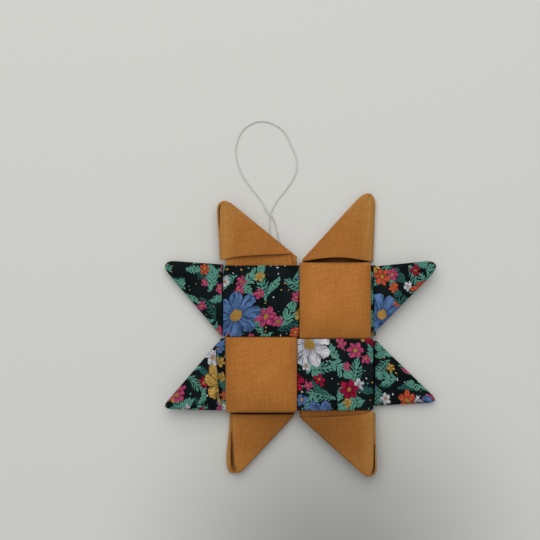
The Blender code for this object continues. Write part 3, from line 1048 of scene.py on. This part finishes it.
# A bowed stem with raked leaves on both its sides, each with a rib.
printed_sprig, given, result = new_group(
    "printed_sprig",
    ["Cells", "Shift", "Length", "Leaves", "Reach", "Breadth", "Rake"],
    ["Mask", "Tone", "Pick"],
)
tree = printed_sprig
way, dice = scatter(tree, given, SPRIG_UNEVENNESS)
turn = times(tree, dice[0], 2 * pi)
inputs = {"Vector": way, "Angle": turn}
way = add_node(tree, "VectorRotate", inputs, rotation_type="Z_AXIS").outputs[0]
way_axes = add_node(tree, "SeparateXYZ", {0: way}).outputs
bend = times(tree, less(tree, dice[1], 0.5), STEM_BEND)
bow = times(tree, bend, times(tree, way_axes[0], way_axes[0]))
beside = maths(tree, "ABSOLUTE", maths(tree, "ADD", way_axes[1], bow))
along = maths(tree, "DIVIDE", way_axes[0], given["Length"])
within = less(tree, 1.0, times(tree, along, along))
inside = maths(tree, "GREATER_THAN", within, 0.0)
leaf_reach = times(tree, given["Reach"], maths(tree, "MAXIMUM", within, LEAST_REACH))
out_share = maths(tree, "DIVIDE", beside, leaf_reach)
raked = times(tree, out_share, given["Rake"])
leaf_step = less(tree, times(tree, along, given["Leaves"]), raked)
from_rib = maths(tree, "ABSOLUTE", less(tree, maths(tree, "FRACT", leaf_step), 0.5))
leaf_width = times(tree, out_share, less(tree, 1.0, out_share))
leaf_width = times(tree, given["Breadth"], leaf_width)
softness = times(tree, given["Cells"], PRINT_SOFTNESS)
leaf_depth = less(tree, leaf_width, from_rib)
leaf = soft_edge(tree, leaf_depth, times(tree, softness, LEAF_SOFTNESS))
stem = soft_edge(tree, less(tree, STEM_WIDTH, beside), softness)
sprig_mask = times(tree, inside, maths(tree, "MAXIMUM", leaf, stem))
along_leaf = times(tree, leaf_step, 2.2)
across_leaf = times(tree, out_share, 0.5)
brush = drawn_noise(tree, along_leaf, across_leaf, 0.0, scale=3.2, detail=1.0)
strokes = grade(tree, brush, 0.36, 0.50, 0.35, 1.0)
leaf_tone = times(tree, grade(tree, from_rib, 0.02, 0.09), strokes)
tree.links.new(sprig_mask, result["Mask"])
tree.links.new(leaf_tone, result["Tone"])
tree.links.new(dice[2], result["Pick"])


def colour_card(tree, pick, colours):
    """One of the colours for each motif, as its dice fell."""
    card = add_node(tree, "ValToRGB", {0: pick})
    card.color_ramp.interpolation = "CONSTANT"
    stops = card.color_ramp.elements
    while len(stops) < len(colours):
        stops.new(0.5)
    for number, colour in enumerate(colours):
        stops[number].position = number / len(colours)
        stops[number].color = (*colour, 1)
    return card.outputs[0]


def deepen(tree, colour):
    """The same ink where it lies thicker."""
    return tinted(tree, 1.0, colour, DEEP_INK)


def print_motif(tree, below, mask, tone, colour):
    """The colours so far with one motif printed over them."""
    return mix_colours(tree, mask, below, mix_colours(tree, tone, deepen(tree, colour), colour))


floral, tree, shader = new_surface("floral_cotton_print", roughness=0.82, sheen=0.0, gloss=0.05)
cloth = add_node(tree, "UVMap", uv_map="flat_cloth").outputs[0]
weave = use_group(tree, plain_weave, Cloth=cloth, Yarns=COTTON_YARNS)
hand = add_node(tree, "TexNoise", {"Vector": cloth, "Scale": 520.0, "Detail": 1.0}).outputs["Color"]
unsteady = vectors(tree, "SCALE", vectors(tree, "SUBTRACT", hand, (0.5, 0.5, 0.5)), HAND_WANDER)
cloth = vectors(tree, "ADD", cloth, unsteady)
body_place = add_node(tree, "TexCoord").outputs["Object"]
wear = noise(tree, body_place, scale=120.0, detail=4.0)
print_colour = mix_colours(tree, grade(tree, wear, 0.4, 0.75), GROUND, GROUND_WORN)

SPECKS = dict(Cells=1 / 0.0026, Shift=3.7, Size=0.13, Petals=3.0, Waist=0.3)
specks = use_group(tree, printed_bloom, Cloth=cloth, **SPECKS)
speck_patches = noise(tree, cloth, scale=170.0, detail=1.0)
in_patch = maths(tree, "GREATER_THAN", speck_patches, SPECKS_ABOVE)
speck_mask = times(tree, specks["Mask"], in_patch)
speck_colour = colour_card(tree, specks["Pick"], (PETAL_YELLOW, PETAL_WHITE, LEAF_GREEN))
print_colour = print_motif(tree, print_colour, speck_mask, 1.0, speck_colour)

FOLIAGE = [
    dict(Cells=1 / 0.0121, Shift=4.6, Length=0.42, Leaves=3.6, Reach=0.20, Breadth=1.15, Rake=1.5),
    dict(Cells=1 / 0.0102, Shift=1.3, Length=0.34, Leaves=2.5, Reach=0.15, Breadth=1.7, Rake=0.7),
    dict(Cells=1 / 0.0142, Shift=8.1, Length=0.36, Leaves=1.7, Reach=0.21, Breadth=1.6, Rake=0.9),
]
for kind in FOLIAGE:
    sprigs = use_group(tree, printed_sprig, Cloth=cloth, **kind)
    leaf_colour = colour_card(tree, sprigs["Pick"], (LEAF_GREEN, LEAF_DARK, LEAF_GREEN, LEAF_GREEN))
    print_colour = print_motif(tree, print_colour, sprigs["Mask"], sprigs["Tone"], leaf_colour)

BLOOMS = [
    (dict(Cells=1 / 0.0071, Shift=5.9, Size=0.33, Petals=5.0, Waist=0.62), 0.30,
     (PETAL_PINK, PETAL_ORANGE, PETAL_BLUE, PETAL_CRIMSON, PETAL_YELLOW, PETAL_PINK, PETAL_WHITE)),
    (dict(Cells=1 / 0.0150, Shift=2.4, Size=0.27, Petals=6.0, Waist=0.50), 0.35,
     (PETAL_CRIMSON, PETAL_WHITE, PETAL_ORANGE, PETAL_PINK)),
    (dict(Cells=1 / 0.0340, Shift=7.2, Size=0.27, Petals=8.0, Waist=0.36), 0.0,
     (PETAL_BLUE, PETAL_WHITE, PETAL_BLUE, PETAL_YELLOW)),
]
for kind, rarity, colours in BLOOMS:
    blooms = use_group(tree, printed_bloom, Cloth=cloth, **kind)
    drawn = maths(tree, "FRACT", times(tree, blooms["Pick"], BLOOM_DICE))
    present = maths(tree, "GREATER_THAN", drawn, rarity)
    petals = times(tree, blooms["Mask"], present)
    bloom_colour = colour_card(tree, blooms["Pick"], colours)
    print_colour = print_motif(tree, print_colour, petals, blooms["Tone"], bloom_colour)
    eyes = times(tree, blooms["Eye"], present)
    print_colour = print_motif(tree, print_colour, eyes, wear, EYE_YELLOW)

yarn_shade = grade(tree, weave["Tone"], 0.25, 0.75, 0.0, 0.30)
print_colour = mix_colours(tree, yarn_shade, print_colour, deepen(tree, print_colour))
# Painted shade in the hollows between the strip's layers.
print_colour = mix_colours(tree, hollow_shade_share(tree), COTTON_HOLLOW_SHADE, print_colour)
tree.links.new(print_colour, shader.inputs["Base Color"])
tree.links.new(grade(tree, weave["Tone"], 0.2, 0.8, 0.9, 0.75), shader.inputs["Roughness"])
add_bumps(tree, shader, weave["Height"], strength=0.4, depth=0.00006)

FLORAL_STRIPS = [
    Strip(
        name="lower_floral_strip", node="strip_lower_floral", slot="floral_cotton",
        quarter_turns=1, flat_length=0.294, cut_from=(0.1846, -0.1387),
        front=Point(
            slope_reach=0.0201, slope_tip=0.0023, leg_reach=0.0192, leg_tip=0.0019,
            leg_foot=0.0014, foot_lift=0.0018, foot_drop=0.0005, corner_lift=0.0034,
            corner_in=0.0221, bow=0.0002, lift=0.0007, slot=0.03, rounding=0.0023,
        ),
        back=Point(
            slope_reach=0.0222, slope_tip=0.0036, leg_reach=0.0209, leg_tip=0.0039,
            leg_foot=0.0028, foot_lift=0.0012, foot_drop=0.0002, corner_lift=0.0012,
            corner_in=0.0244, bow=0.0002, lift=0.0003, slot=0.03, rounding=0.0022,
        ),
    ),
    Strip(
        name="upper_floral_strip", node="strip_upper_floral", slot="floral_cotton",
        quarter_turns=3, flat_length=0.296, cut_from=(0.0838, -0.084),
        front=Point(
            slope_reach=0.0222, slope_tip=0.0014, leg_reach=0.0213, leg_tip=0.0000,
            leg_foot=0.0020, foot_lift=0.0009, foot_drop=0.0, corner_lift=0.0009,
            corner_in=0.0233, bow=0.0002, lift=0.0003, slot=0.06, rounding=0.0048,
        ),
        back=Point(
            slope_reach=0.0206, slope_tip=0.0013, leg_reach=0.0199, leg_tip=0.0000,
            leg_foot=0.0013, foot_lift=0.0009, foot_drop=0.0, corner_lift=0.0018,
            corner_in=0.0239, bow=0.0002, lift=0.0012, slot=0.06, rounding=0.0042,
        ),
    ),
]
for strip in FLORAL_STRIPS:
    add_strip(strip, floral)
